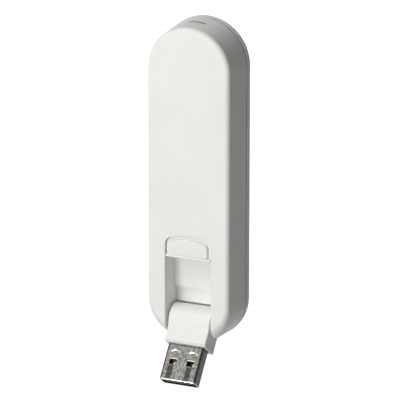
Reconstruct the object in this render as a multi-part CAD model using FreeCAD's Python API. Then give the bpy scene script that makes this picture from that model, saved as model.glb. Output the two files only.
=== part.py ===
import FreeCAD, Part
import math
import os

# Signal repeater stick with a hinged USB plug, in millimetres.
# X is the width, the front face looks toward -Y and +Z runs up the stick.
# Sizes below are set in a working frame with the front face at Y = 0 and the middle of the
# housing at Z = 0. Every piece is moved at the end so that the origin is the plug seat.

# Housing
housing_width = 29.0
housing_height = 103.6
housing_depth = 14.8
side_draft = 0.8
front_edge_round = 1.5
cheek_round = 7.0
wall = 1.6
inner_edge_round = 0.4
cover_depth = 2.65
seam_gap = 0.45
seam_bevel = 0.25
back_edge_round = 0.6
lip_gap = 0.1
lip_thickness = 1.0
lip_length = 1.8
lip_clear = 0.4
snap_from_seam = 0.85
snap_length = 6.0
snap_width = 0.7
snap_height = 0.4
snap_groove_extra = 0.15
snap_top_drop = 12.3
snap_low_rise = 0.7

# Bay that takes the folded plug
bay_width = 15.4
bay_wall = 1.2
bay_reach = 21.15
bay_step_reach = 9.75
shell_floor_behind = 1.65
block_floor_behind = 3.35
bay_rim_round = 0.3

# Hinge
cradle_seam_gap = 0.2
hinge_from_bottom = 7.95
rest_tilt = 37.0
swing_clearance = 0.35
trunnion_radius = 2.0
trunnion_bore = 1.1
bearing_clearance = 0.05
shoulder_radius = 3.2
shoulder_gap = 0.2
trunnion_end_gap = 0.05

# Plug carrier
carrier_width = 13.8
barrel_radius = 4.8
barrel_offset = -0.35
block_front = 2.95
block_end = 9.0
crease = 4.05
block_edge_bevel = 0.15
carrier_wall = 1.0
carrier_end_wall = 1.4
grip_wall = 0.8
carrier_room_start = -2.4
carrier_groove_width = 0.12
carrier_groove_depth = 0.15

# USB plug, standard A
plug_width = 12.0
plug_thickness = 4.5
plug_sheet = 0.3
plug_corner = 0.6
plug_centre = -1.15
plug_reach = 20.75
plug_tail = 4.2
plug_fit = 0.02
window_width = 2.3
window_height = 1.8
window_centre = 2.95
window_from_tip = 5.1
tongue_side_gap = 0.1
tongue_thickness = 1.9
tongue_recess = 0.4
tongue_block_front = 10.4
tongue_lead_in = 0.35
contact_width = 1.0
contact_height = 0.12
contact_sink = 0.1
power_contact_x = 3.5
data_contact_x = 1.0
power_contact_recess = 1.3
data_contact_recess = 2.3
contact_tail = 2.2
tail_window_width = 9.0
tail_window_height = 1.2

# Press pad above the bay
pad_rise = 7.4
pad_crown_radius = 19.0
pad_corner_radius = 2.5
pad_gap = 0.2
pad_groove = 1.15
pad_groove_depth = 1.0
pad_strip = 0.85
pad_bottom_corner = 0.8
pad_edge_round = 0.3
pad_lip_depth = 0.1
pad_lip_round = 0.25
pad_back_y = 2.4
pad_flange_y = 1.75
pad_flange_reach = 0.8
pad_travel = 0.5
pad_stem_radius = 1.3
pad_stem_rise = 4.1
pad_stop_gap = 0.1

# Status light slot in the top wall
slot_length = 5.8
slot_height = 0.85
slot_y = 6.9
guide_width = 7.4
guide_depth = 2.6
guide_foot = 2.2
guide_gap = 0.1
guide_nose_gap = 0.06
guide_recess = 0.05

# Circuit board
board_thickness = 1.0
board_back_gap = 0.8
board_edge_gap = 0.8
board_top_gap = 2.1
board_foot_gap = 0.35
board_corner = 1.5
stake_top_drop = 5.2
stake_low_rise = 13.7
stake_post_radius = 2.2
stake_pin_radius = 1.0
stake_hole_gap = 0.1
stake_pin_length = 0.6

# Radio module
module_width = 16.0
module_top_drop = 9.7
module_thickness = 0.8
shield_width = 14.0
shield_height = 14.5
shield_depth = 2.0
shield_sheet = 0.25
shield_bottom_margin = 1.0
shield_corner = 0.5
chip_size = 5.0
chip_depth = 0.9
trace_width = 0.6
trace_thickness = 0.08
trace_pitch = 1.5
trace_height = 4.0
trace_turns = 9
trace_shield_gap = 1.8
trace_margin = 1.2

# Small parts on the board
led_width = 1.6
led_height = 0.8
led_depth = 0.7
led_from_top = 1.0
switch_size = 4.6
switch_body_depth = 1.7
plunger_radius = 1.2
plunger_height = 1.8
crystal_width = 3.2
crystal_height = 2.5
crystal_depth = 0.8
crystal_margin = 1.8
crystal_rise = 19.7
regulator_width = 3.6
regulator_height = 6.4
regulator_depth = 1.7
regulator_margin = 3.6
regulator_rise = 9.7
choke_size = 4.0
choke_depth = 2.0
choke_margin = 2.4
choke_rise = 11.2
capacitor_width = 2.6
capacitor_height = 3.4
capacitor_depth = 1.6
capacitor_margin = 3.1
capacitor_upper_rise = 5.7
capacitor_lower_drop = 4.8
header_width = 4.2
header_height = 3.2
header_depth = 1.7
header_edge_margin = 0.7
header_rise = 8.1

# Power leads
lead_radius = 0.35
lead_sides = 8
lead_spacing = 0.9
lead_pitch = 2.0
lead_bend = 0.6
lead_wall_gap = 0.35
lead_start_x = -4.6
lead_stagger = 1.4
lead_slant = 4.0
lead_rise = 1.8

# Values worked out from the sizes above
seam_depth = housing_depth - cover_depth
snap_y = seam_depth - snap_from_seam
back_radius = housing_width / 2.0
arc_z = housing_height / 2.0 - back_radius
half_bay = bay_width / 2.0
half_carrier = carrier_width / 2.0
block_back = barrel_offset - barrel_radius
swing_radius = barrel_radius - barrel_offset + swing_clearance
hinge_z = hinge_from_bottom - housing_height / 2
bay_top_z = hinge_z + bay_reach
bay_step_z = hinge_z + bay_step_reach
pad_top_z = bay_top_z + pad_rise
pad_bottom_z = bay_top_z + pad_strip
pad_stem_z = bay_top_z + pad_stem_rise
snap_z_top = arc_z - snap_top_drop
snap_z_bottom = bay_top_z + snap_low_rise
hinge_y = seam_depth - cradle_seam_gap - bay_wall - swing_radius
shell_floor_y = hinge_y + shell_floor_behind
block_floor_y = hinge_y + block_floor_behind
board_y = housing_depth - wall - board_back_gap - board_thickness
board_half_width = back_radius - wall - lip_gap - lip_thickness - board_edge_gap
board_arc_z = arc_z - board_top_gap
board_bottom_z = hinge_z + swing_radius + bay_wall + board_foot_gap
led_z = board_arc_z + board_half_width - led_from_top
stake_z_top = board_arc_z - stake_top_drop
stake_z_bottom = bay_top_z + stake_low_rise
module_top_z = board_arc_z - module_top_drop
module_height = shield_bottom_margin + shield_height + trace_shield_gap + trace_height + trace_margin
module_bottom_z = module_top_z - module_height
crystal_z = bay_top_z + crystal_rise
regulator_z = bay_top_z + regulator_rise
choke_z = bay_top_z + choke_rise
capacitor_z_upper = bay_top_z + capacitor_upper_rise
capacitor_z_lower = bay_top_z - capacitor_lower_drop
header_z = bay_step_z + header_rise
header_x = header_edge_margin + header_width / 2 - board_half_width
regulator_x = regulator_margin + regulator_width / 2 - board_half_width
crystal_x = board_half_width - crystal_margin - crystal_width / 2
choke_x = board_half_width - choke_margin - choke_size / 2
capacitor_x = board_half_width - capacitor_margin - capacitor_width / 2
lead_run_x = -(half_bay + bay_wall + lead_wall_gap + lead_radius)
lead_back_y = board_y - header_depth / 2
lead_back_z = bay_step_z + bay_wall + lead_wall_gap + lead_radius
tilt = math.radians(rest_tilt)
far = 200.0
overlap = 0.5
X_AXIS = FreeCAD.Vector(1, 0, 0)
Y_AXIS = FreeCAD.Vector(0, 1, 0)
plug_dir = FreeCAD.Vector(0, -math.sin(tilt), -math.cos(tilt))
plug_up = FreeCAD.Vector(0, -math.cos(tilt), math.sin(tilt))
hinge = FreeCAD.Vector(0, hinge_y, hinge_z)
plug_seat = hinge + plug_dir * block_end + plug_up * plug_centre
module_face_y = board_y - module_thickness
plunger_y = board_y - switch_body_depth - plunger_height
tongue_face = plug_centre - plug_thickness / 2 + plug_sheet + tongue_thickness


def box(x0, x1, y0, y1, z0, z1):
    return Part.makeBox(x1 - x0, y1 - y0, z1 - z0, FreeCAD.Vector(x0, y0, z0))


def bar(x0, x1, radius, y=hinge_y, z=hinge_z):
    return Part.makeCylinder(radius, x1 - x0, FreeCAD.Vector(x0, y, z), X_AXIS)


def post(radius, y0, y1, x, z):
    return Part.makeCylinder(radius, y1 - y0, FreeCAD.Vector(x, y0, z), Y_AXIS)


def join(shapes):
    first = shapes[0]
    return first.fuse(shapes[1:]).removeSplitter()


def mirror_x(shape):
    return shape.mirror(FreeCAD.Vector(0, 0, 0), X_AXIS)


def radius_at(y, inset):
    return back_radius - side_draft * (housing_depth - y) / housing_depth - inset


def edges_at_y(shape, y):
    found = []
    for edge in shape.Edges:
        bounds = edge.BoundBox
        if abs(bounds.YMin - y) < 1e-4 and abs(bounds.YMax - y) < 1e-4:
            found.append(edge)
    return found


def tapered_stick(inset, y0, y1):
    # round-ended bar, drawn in by the draft toward the front
    r0 = radius_at(y0, inset)
    r1 = radius_at(y1, inset)
    corners = [(-r0, y0), (r0, y0), (r1, y1), (-r1, y1), (-r0, y0)]
    outline = Part.makePolygon([FreeCAD.Vector(x, y, -arc_z) for x, y in corners])
    middle = Part.Face(outline).extrude(FreeCAD.Vector(0, 0, 2 * arc_z))
    ends = []
    for z in (-arc_z, arc_z):
        ends.append(Part.makeCone(r0, r1, y1 - y0, FreeCAD.Vector(0, y0, z), Y_AXIS))
    return middle, ends[0], ends[1]


def rounded_stick(inset, y0, y1, edge_round, bottom_round):
    # the front edge rounding is even round the sides and top and grows toward the bottom
    middle, low_end, high_end = tapered_stick(inset, y0, y1)
    upper = join([middle, high_end])
    rim = [e for e in edges_at_y(upper, y0) if e.BoundBox.ZMax > -arc_z + 1e-3]
    upper = upper.makeFillet(edge_round, rim)
    quarter = low_end.common(box(0, far, y0, y1, -far, -arc_z))
    arcs = []
    for edge in edges_at_y(quarter, y0):
        if edge.Curve.TypeId == "Part::GeomCircle":
            arcs.append(edge)
    starts_low = arcs[0].valueAt(arcs[0].FirstParameter).x < 1e-3
    first, last = edge_round, bottom_round
    if starts_low:
        first, last = bottom_round, edge_round
    quarter = quarter.makeFillet(first, last, arcs)
    return join([upper, quarter, mirror_x(quarter)])


def pad_outline(gap, bottom_z, bottom_corner):
    # crowned top with round shoulders; the bottom corners may be square or round
    half = half_bay - gap
    crown = pad_crown_radius - gap
    corner = pad_corner_radius - gap
    crown_z = pad_top_z - pad_crown_radius
    corner_x = half - corner
    corner_z = crown_z + math.sqrt((crown - corner) ** 2 - corner_x ** 2)
    reach = crown / (crown - corner)
    join_x = corner_x * reach
    join_z = crown_z + (corner_z - crown_z) * reach
    middle = math.atan2(corner_z - crown_z, corner_x) / 2.0
    knee_x = corner_x + corner * math.cos(middle)
    knee_z = corner_z + corner * math.sin(middle)
    top_z = crown_z + crown

    def at(x, z):
        return FreeCAD.Vector(x, 0, z)

    edges = [
        Part.makeLine(at(half, bottom_z + bottom_corner), at(half, corner_z)),
        Part.Arc(at(half, corner_z), at(knee_x, knee_z), at(join_x, join_z)).toShape(),
        Part.Arc(at(join_x, join_z), at(0, top_z), at(-join_x, join_z)).toShape(),
        Part.Arc(at(-join_x, join_z), at(-knee_x, knee_z), at(-half, corner_z)).toShape(),
        Part.makeLine(at(-half, corner_z), at(-half, bottom_z + bottom_corner)),
    ]
    foot = half - bottom_corner
    if bottom_corner > 0:
        bend = bottom_corner * (1 - math.sqrt(0.5))
        left_knee = at(-half + bend, bottom_z + bend)
        right_knee = at(half - bend, bottom_z + bend)
        left = (at(-half, bottom_z + bottom_corner), left_knee, at(-foot, bottom_z))
        right = (at(foot, bottom_z), right_knee, at(half, bottom_z + bottom_corner))
        edges.append(Part.Arc(*left).toShape())
        edges.append(Part.makeLine(at(-foot, bottom_z), at(foot, bottom_z)))
        edges.append(Part.Arc(*right).toShape())
    else:
        edges.append(Part.makeLine(at(-half, bottom_z), at(half, bottom_z)))
    return Part.Wire(Part.__sortEdges__(edges))


def pad_slab(gap, bottom_z, bottom_corner, y0, y1):
    face = Part.Face(pad_outline(gap, bottom_z, bottom_corner))
    slab = face.extrude(FreeCAD.Vector(0, y1 - y0, 0))
    slab.translate(FreeCAD.Vector(0, y0, 0))
    return slab


def swung(shape):
    # the plug pieces are drawn hanging straight down from the hinge and tilted forward
    turned = shape.copy()
    turned.rotate(hinge, X_AXIS, -rest_tilt)
    return turned


def plug_box(x0, x1, s0, s1, n0, n1):
    # s runs from the hinge along the plug, n runs toward its front side
    return box(x0, x1, hinge_y - n1, hinge_y - n0, hinge_z - s1, hinge_z - s0)


def plug_point(s, n, x=0.0):
    return FreeCAD.Vector(x, hinge_y - n, hinge_z - s)


# Front shell
def make_front_shell():
    outer = rounded_stick(0, 0, seam_depth, front_edge_round, cheek_round)
    outer = outer.makeChamfer(seam_bevel, edges_at_y(outer, seam_depth))
    inner = rounded_stick(wall, wall, seam_depth + overlap, inner_edge_round, cheek_round - wall)
    shell = outer.cut(inner)
    side = half_bay + bay_wall
    slot_back = hinge_y + swing_radius
    cradle_top = hinge_z + swing_radius + bay_wall
    blocks = [
        box(-side, side, 0, shell_floor_y + bay_wall, bay_step_z, bay_top_z + bay_wall),
        box(-side, side, 0, block_floor_y + bay_wall, hinge_z, bay_step_z + bay_wall),
        box(-side, side, 0, slot_back + bay_wall, -far, cradle_top),
    ]
    shell = join([shell, join(blocks).common(outer)])
    posts = []
    for z in (stake_z_top, stake_z_bottom):
        posts.append(post(stake_post_radius, wall - overlap, board_y, 0, z))
        pin_end = board_y + board_thickness + stake_pin_length
        posts.append(post(stake_pin_radius, board_y - overlap, pin_end, 0, z))
    shell = join([shell] + posts)
    pad_void_y = pad_back_y + pad_travel + pad_gap
    voids = [
        box(-half_bay, half_bay, -overlap, shell_floor_y, bay_step_z - overlap, bay_top_z),
        box(-half_bay, half_bay, -overlap, block_floor_y, hinge_z, bay_step_z),
        box(-half_bay, half_bay, -overlap, hinge_y, -far, hinge_z),
        box(-half_bay, half_bay, hinge_y - overlap, slot_back, -far, hinge_z),
        bar(-half_bay, half_bay, swing_radius),
        bar(-side - overlap, side + overlap, trunnion_radius + bearing_clearance),
        pad_slab(0, bay_top_z - overlap, 0, -overlap, pad_void_y),
        slot_bar(slot_length, slot_height, arc_z),
    ]
    for x in (-1, 1):
        for z in (snap_z_top, snap_z_bottom):
            voids.append(snap_bar(x, z, snap_groove_extra, snap_height + snap_groove_extra))
    shell = shell.cut(join(voids)).removeSplitter()
    return shell.makeFillet(bay_rim_round, opening_edges(shell))


def slot_bar(length, height, z0):
    # upright bar with round ends, for the slot and for what fills it
    radius = height / 2
    end = length / 2 - radius
    bars = [box(-end, end, slot_y - radius, slot_y + radius, z0, far)]
    for x in (-end, end):
        bars.append(Part.makeCylinder(radius, far - z0, FreeCAD.Vector(x, slot_y, z0)))
    return join(bars)


def snap_bar(side, z, extra, height):
    # bar on the cover's lip, or the groove for it in the shell wall
    face = radius_at(snap_y, wall + lip_gap)
    half = snap_length / 2 + extra
    depth = snap_width / 2 + extra
    shape = box(face - overlap, face + height, snap_y - depth, snap_y + depth, z - half, z + half)
    if side < 0:
        shape = mirror_x(shape)
    return shape


def opening_edges(shell):
    # front edges of the bay and pad opening, down to where the cheeks start to round
    found = []
    for edge in edges_at_y(shell, 0):
        bounds = edge.BoundBox
        if abs(bounds.XMin) < half_bay + 1e-3 and abs(bounds.XMax) < half_bay + 1e-3:
            if bounds.ZMax < pad_top_z + 1e-3:
                found.append(edge)
    return found


# Rear cover
def make_rear_cover():
    front = seam_depth + seam_gap
    plate_front = housing_depth - wall
    cover = join(list(tapered_stick(0, front, housing_depth)))
    cover = cover.makeFillet(back_edge_round, edges_at_y(cover, housing_depth))
    cover = cover.makeChamfer(seam_bevel, edges_at_y(cover, front))
    lip_inset = wall + lip_gap
    hollow_inset = lip_inset + lip_thickness
    cover = cover.cut(join(list(tapered_stick(hollow_inset, front - overlap, plate_front))))
    lip = join(list(tapered_stick(lip_inset, seam_depth - lip_length, plate_front)))
    hollow = join(list(tapered_stick(hollow_inset, seam_depth - lip_length - overlap, plate_front)))
    lip = lip.cut(hollow)
    clear_x = half_bay + bay_wall + lip_clear
    clear_z = hinge_z + swing_radius + bay_wall + lip_clear
    lip = lip.cut(box(-clear_x, clear_x, 0, front, -far, clear_z))
    bars = []
    for x in (-1, 1):
        for z in (snap_z_top, snap_z_bottom):
            bars.append(snap_bar(x, z, 0, snap_height))
    return join([cover, lip] + bars)


# Press pad with its stem
def make_press_pad():
    cap_back = pad_groove_depth + overlap
    cap = pad_slab(pad_groove, pad_bottom_z, pad_bottom_corner, 0, cap_back)
    cap = cap.makeFillet(pad_edge_round, edges_at_y(cap, 0))
    shelf = pad_slab(pad_gap, pad_bottom_z, 0, pad_groove_depth, pad_back_y)
    half_lip = half_bay - pad_gap
    lip = box(-half_lip, half_lip, pad_lip_depth, pad_back_y, bay_top_z, pad_bottom_z)
    lip = lip.makeFillet(pad_lip_round, [e for e in edges_at_y(lip, pad_lip_depth) if e.Length > half_lip])
    flange_foot = bay_top_z + bay_wall + pad_gap
    flange = pad_slab(-pad_flange_reach, flange_foot, 0, pad_flange_y, pad_back_y)
    stem_end = plunger_y - pad_travel - pad_stop_gap
    stem = post(pad_stem_radius, pad_back_y - overlap, stem_end, 0, pad_stem_z)
    return join([cap, shelf, lip, flange, stem])


# Smoked light guide with a nose in the slot
def make_light_guide():
    half = guide_width / 2
    head_y0 = slot_y - guide_depth / 2
    head_y1 = slot_y + guide_depth / 2
    head = box(-half, half, head_y0, head_y1, led_z - guide_foot / 2, arc_z + back_radius)
    end = tapered_stick(wall, wall, seam_depth)[2]
    room = end.fuse(box(-half, half, wall, seam_depth, 0, arc_z))
    head = head.common(room)
    foot_end = board_y - led_depth - guide_gap
    foot_half = guide_foot / 2
    foot = box(-foot_half, foot_half, slot_y, foot_end, led_z - foot_half, led_z + foot_half)
    nose = slot_bar(slot_length - 2 * guide_nose_gap, slot_height - 2 * guide_nose_gap, led_z)
    nose = nose.common(tapered_stick(guide_recess, 0, seam_depth)[2])
    return join([head, foot, nose])


# Circuit board and what sits on it
def make_main_board():
    y1 = board_y + board_thickness
    square = box(-board_half_width, board_half_width, board_y, y1, board_bottom_z, board_arc_z)
    corners = []
    for edge in square.Edges:
        bounds = edge.BoundBox
        if bounds.ZMax < board_bottom_z + 1e-3 and bounds.YLength > board_thickness - 1e-3:
            corners.append(edge)
    square = square.makeFillet(board_corner, corners)
    board = join([square, post(board_half_width, board_y, y1, 0, board_arc_z)])
    holes = []
    for z in (stake_z_top, stake_z_bottom):
        hole = stake_pin_radius + stake_hole_gap
        holes.append(post(hole, board_y - overlap, y1 + overlap, 0, z))
    return board.cut(holes)


def on_board(width, height, depth, x, z, back=board_y):
    return box(x - width / 2, x + width / 2, back - depth, back, z - height / 2, z + height / 2)


def make_radio_shield():
    middle = module_bottom_z + shield_bottom_margin + shield_height / 2
    outer = on_board(shield_width, shield_height, shield_depth, 0, middle, module_face_y)
    corners = [e for e in outer.Edges if e.BoundBox.YLength > shield_depth - 1e-3]
    outer = outer.makeFillet(shield_corner, corners)
    hollow = on_board(
        shield_width - 2 * shield_sheet,
        shield_height - 2 * shield_sheet,
        shield_depth - shield_sheet,
        0,
        middle,
        module_face_y,
    )
    return outer.cut(hollow)


def make_antenna_trace():
    # square meander on the bare end of the module
    pieces = []
    half = trace_width / 2
    top = module_top_z - trace_margin
    bottom = top - trace_height
    face = module_face_y
    start = -trace_pitch * (trace_turns - 1) / 2
    for i in range(trace_turns):
        x = start + i * trace_pitch
        pieces.append(box(x - half, x + half, face - trace_thickness, face, bottom, top))
        if i > 0:
            z = top if i % 2 else bottom + trace_width
            link = box(x - trace_pitch - half, x + half, face - trace_thickness, face, z - trace_width, z)
            pieces.append(link)
    return join(pieces)


def rounded_path(points, bend):
    # straight runs joined by arcs of one radius
    edges = []
    last = points[0]
    for before, corner, after in zip(points, points[1:], points[2:]):
        back = (before - corner).normalize()
        ahead = (after - corner).normalize()
        half_angle = back.getAngle(ahead) / 2
        reach = bend / math.tan(half_angle)
        start = corner + back * reach
        end = corner + ahead * reach
        inward = (back + ahead).normalize()
        centre = corner + inward * (bend / math.sin(half_angle))
        middle = centre - inward * bend
        edges.append(Part.makeLine(last, start))
        edges.append(Part.Arc(start, middle, end).toShape())
        last = end
    edges.append(Part.makeLine(last, points[-1]))
    return Part.Wire(edges)


def lead_section(centre):
    # few flat sides stand for the round jacket
    corners = []
    for i in range(lead_sides + 1):
        turn = 2 * math.pi * (i + 0.5) / lead_sides
        corners.append(centre + FreeCAD.Vector(0, lead_radius * math.cos(turn), lead_radius * math.sin(turn)))
    return Part.makePolygon(corners)


def make_lead(side, stagger):
    # both leads leave the bore side by side, climb the cheek and turn in above the bay's step
    bore_y = hinge_y + side * lead_spacing / 2
    pin_x = header_x + side * lead_pitch / 2
    back_z = lead_back_z + stagger
    points = [
        FreeCAD.Vector(lead_start_x, bore_y, hinge_z),
        FreeCAD.Vector(lead_run_x, bore_y, hinge_z),
        FreeCAD.Vector(lead_run_x, bore_y, back_z - lead_slant),
        FreeCAD.Vector(lead_run_x, lead_back_y, back_z),
        FreeCAD.Vector(pin_x, lead_back_y, header_z - header_height / 2 - lead_rise),
        FreeCAD.Vector(pin_x, lead_back_y, header_z - header_height / 2),
    ]
    path = rounded_path(points, lead_bend)
    return path.makePipeShell([lead_section(points[0])], True, False)


# Plug carrier: barrel and block in two halves that meet on the hinge axis
def carrier_body():
    dx = crease
    dn = block_front - barrel_offset
    angle = math.atan2(dn, dx) + math.acos(barrel_radius / math.hypot(dx, dn))
    touch_s = barrel_radius * math.cos(angle)
    touch_n = barrel_offset + barrel_radius * math.sin(angle)
    outline = [
        (0, block_back),
        (block_end, block_back),
        (block_end, block_front),
        (crease, block_front),
        (touch_s, touch_n),
        (0, barrel_offset),
        (0, block_back),
    ]
    wire = Part.makePolygon([plug_point(s, n, -half_carrier) for s, n in outline])
    block = Part.Face(wire).extrude(FreeCAD.Vector(carrier_width, 0, 0))
    barrel = bar(-half_carrier, half_carrier, barrel_radius, hinge_y - barrel_offset)
    return join([block, barrel])


def carrier_edges(body):
    # the outer corners of the block end and its four long edges
    found = []
    for edge in body.Edges:
        bounds = edge.BoundBox
        at_end = bounds.ZMax < hinge_z - block_end + 1e-3
        along = bounds.ZMin < hinge_z - block_end + 1e-3 and bounds.XLength < 1e-3
        if at_end or along:
            found.append(edge)
    return found


def shell_outline(width, thickness, corner, s0, s1):
    half = width / 2
    n0 = plug_centre - thickness / 2
    n1 = plug_centre + thickness / 2
    shape = plug_box(-half, half, s0, s1, n0, n1)
    long_edges = [e for e in shape.Edges if e.BoundBox.ZLength > s1 - s0 - 1e-3]
    return shape.makeFillet(corner, long_edges)


def make_carrier_halves():
    body = carrier_body()
    body = body.makeChamfer(block_edge_bevel, carrier_edges(body))
    solids = [body]
    thrust_end = half_bay - shoulder_gap
    trunnion_end = half_bay + bay_wall - trunnion_end_gap
    solids.append(bar(-thrust_end, thrust_end, shoulder_radius))
    solids.append(bar(-trunnion_end, trunnion_end, trunnion_radius))
    body = join(solids)
    room_half = half_carrier - carrier_wall
    room = plug_box(
        -room_half,
        room_half,
        carrier_room_start,
        block_end - carrier_end_wall,
        block_back + carrier_wall,
        block_front - carrier_wall,
    )
    fit = plug_fit
    mouth = shell_outline(
        plug_width + 2 * fit, plug_thickness + 2 * fit, plug_corner + fit, plug_tail, block_end + overlap
    )
    grip = plug_box(-far, far, plug_tail - grip_wall, plug_tail, -far, far)
    room = room.cut(grip.common(room).cut(tail_window()))
    body = body.cut([room, mouth, bar(-far, far, trunnion_bore)])
    half_groove = carrier_groove_width / 2
    edge = half_carrier - carrier_groove_depth
    for x0, x1 in ((-half_carrier - 1e-3, -edge), (edge, half_carrier + 1e-3)):
        groove = plug_box(x0, x1, shoulder_radius, block_end + overlap, -half_groove, half_groove)
        body = body.cut(groove)
    front = body.common(plug_box(-far, far, -far, far, 0, far))
    rear = body.common(plug_box(-far, far, -far, far, -far, 0))
    return front, rear


def tail_window():
    # opening for the contact tails in the wall that stops the plug
    half = tail_window_width / 2
    n0 = tongue_face - tail_window_height / 2
    n1 = tongue_face + tail_window_height / 2
    return plug_box(-half, half, -far, far, n0, n1)


# USB plug
def make_usb_shell():
    s1 = plug_reach
    outer = shell_outline(plug_width, plug_thickness, plug_corner, plug_tail, s1)
    inner = shell_outline(
        plug_width - 2 * plug_sheet,
        plug_thickness - 2 * plug_sheet,
        plug_corner - plug_sheet,
        plug_tail - overlap,
        s1 + overlap,
    )
    tube = outer.cut(inner)
    windows = []
    window_end = plug_reach - window_from_tip
    for x in (-window_centre, window_centre):
        half = window_width / 2
        windows.append(plug_box(x - half, x + half, window_end - window_height, window_end, -far, far))
    return tube.cut(windows)


def contact_strip(x, recess):
    half = contact_width / 2
    n0 = tongue_face - contact_sink
    n1 = tongue_face + contact_height
    return plug_box(x - half, x + half, contact_tail, plug_reach - recess, n0, n1)


def make_contacts(x, recess):
    strip = contact_strip(x, recess)
    return Part.makeCompound([mirror_x(strip), strip])


def make_usb_tongue(contacts):
    half = plug_width / 2 - plug_sheet - tongue_side_gap
    n0 = plug_centre - plug_thickness / 2 + plug_sheet
    n1 = plug_centre + plug_thickness / 2 - plug_sheet
    tip = plug_reach - tongue_recess
    blade = plug_box(-half, half, plug_tail, tip, n0, tongue_face)
    lead_in = [e for e in blade.Edges if e.BoundBox.ZMax < hinge_z - tip + 1e-3 and e.BoundBox.XLength > half]
    blade = blade.makeChamfer(tongue_lead_in, lead_in)
    root = plug_box(-half, half, plug_tail, tongue_block_front, n0, n1)
    body = join([blade, root]).cut(contacts)
    return body.common(shell_outline(2 * half, n1 - n0, plug_corner - plug_sheet, plug_tail, tip))


os.makedirs("parts", exist_ok=True)
nodes = {
    "front_shell": make_front_shell(),
    "rear_cover": make_rear_cover(),
    "press_pad": make_press_pad(),
    "light_guide": make_light_guide(),
    "main_board": make_main_board(),
    "radio_shield": make_radio_shield(),
    "antenna_trace": make_antenna_trace(),
    "lead_positive": make_lead(-1, lead_stagger),
    "lead_negative": make_lead(1, 0),
}
module_middle = (module_bottom_z + module_top_z) / 2
chip_z = module_bottom_z + shield_bottom_margin + shield_height / 2
nodes["radio_module"] = on_board(module_width, module_height, module_thickness, 0, module_middle)
nodes["radio_chip"] = on_board(chip_size, chip_size, chip_depth, 0, chip_z, module_face_y)
nodes["status_led"] = on_board(led_width, led_height, led_depth, 0, led_z)
nodes["switch_body"] = on_board(switch_size, switch_size, switch_body_depth, 0, pad_stem_z)
nodes["switch_plunger"] = post(plunger_radius, plunger_y, board_y - switch_body_depth, 0, pad_stem_z)
nodes["crystal"] = on_board(crystal_width, crystal_height, crystal_depth, crystal_x, crystal_z)
nodes["voltage_regulator"] = on_board(
    regulator_width, regulator_height, regulator_depth, regulator_x, regulator_z
)
nodes["choke"] = on_board(choke_size, choke_size, choke_depth, choke_x, choke_z)
nodes["capacitors"] = Part.makeCompound([
    on_board(capacitor_width, capacitor_height, capacitor_depth, capacitor_x, capacitor_z_upper),
    on_board(capacitor_width, capacitor_height, capacitor_depth, capacitor_x, capacitor_z_lower),
])
nodes["lead_header"] = on_board(header_width, header_height, header_depth, header_x, header_z)

# Pieces that turn with the plug
front_half, rear_half = make_carrier_halves()
power_contacts = make_contacts(power_contact_x, power_contact_recess)
data_contacts = make_contacts(data_contact_x, data_contact_recess)
nodes["carrier_front"] = swung(front_half)
nodes["carrier_rear"] = swung(rear_half)
nodes["usb_shell"] = swung(make_usb_shell())
nodes["usb_tongue"] = swung(make_usb_tongue([power_contacts, data_contacts]))
nodes["power_contacts"] = swung(power_contacts)
nodes["data_contacts"] = swung(data_contacts)

for name, shape in nodes.items():
    placed = shape.copy()
    placed.translate(-plug_seat)
    placed.exportStep("parts/" + name + ".step")
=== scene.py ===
"""Finishes and studio for a white signal repeater stick with a hinged USB plug."""

import math

import bpy
from bpy.props import FloatProperty, FloatVectorProperty, PointerProperty
from mathutils import Matrix, Vector


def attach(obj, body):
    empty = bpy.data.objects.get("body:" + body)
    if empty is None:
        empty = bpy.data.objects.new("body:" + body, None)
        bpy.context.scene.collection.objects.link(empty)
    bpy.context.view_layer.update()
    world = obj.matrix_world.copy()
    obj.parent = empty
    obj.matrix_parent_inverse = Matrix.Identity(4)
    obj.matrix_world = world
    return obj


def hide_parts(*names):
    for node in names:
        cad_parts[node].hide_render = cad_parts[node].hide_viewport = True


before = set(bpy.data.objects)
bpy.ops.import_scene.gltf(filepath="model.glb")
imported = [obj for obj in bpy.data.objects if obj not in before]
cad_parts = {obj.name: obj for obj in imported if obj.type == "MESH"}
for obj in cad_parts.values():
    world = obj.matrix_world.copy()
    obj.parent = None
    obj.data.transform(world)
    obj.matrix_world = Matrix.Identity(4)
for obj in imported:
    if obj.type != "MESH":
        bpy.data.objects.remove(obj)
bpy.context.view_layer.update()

bl_info = {
    "name": "Repeater Stick",
    "version": (1, 0, 0),
    "blender": (4, 5, 0),
    "location": "View3D > Sidebar > Repeater",
    "description": "Finishes a signal repeater stick piece by piece and sets up its studio",
    "category": "Object",
}

MM = 0.001

# The plug hangs straight down from the hinge while it is modelled, and is then swung forward
HINGE = Vector((0.0, 4.498, 7.880)) * MM
SWING = math.radians(-37.0)

# The carrier block's lower front edge, before and below the hinge while the plug hangs
BLOCK_FRONT = 2.95 * MM
BLOCK_END = 9.0 * MM

# Centres of the two tracks that a socket's springs rub, measured across the plug
TRACK_CENTRES = (-3.3 * MM, 2.85 * MM)

# The point that the lamps face, and how far from it they stand
LAMP_AIM = Vector((0.0, 6.0, 45.0)) * MM
LAMP_DISTANCE = 850.0 * MM


def linear(code):
    """sRGB hex code as the linear colour that shaders take"""
    channels = [int(code[i:i + 2], 16) / 255 for i in (1, 3, 5)]
    lit = [c / 12.92 if c <= 0.04045 else ((c + 0.055) / 1.055) ** 2.4 for c in channels]
    return (*lit, 1.0)


def per_mm(size):
    """Texture scale at which one cell is that many millimetres wide"""
    return 1.0 / (size * MM)


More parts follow.
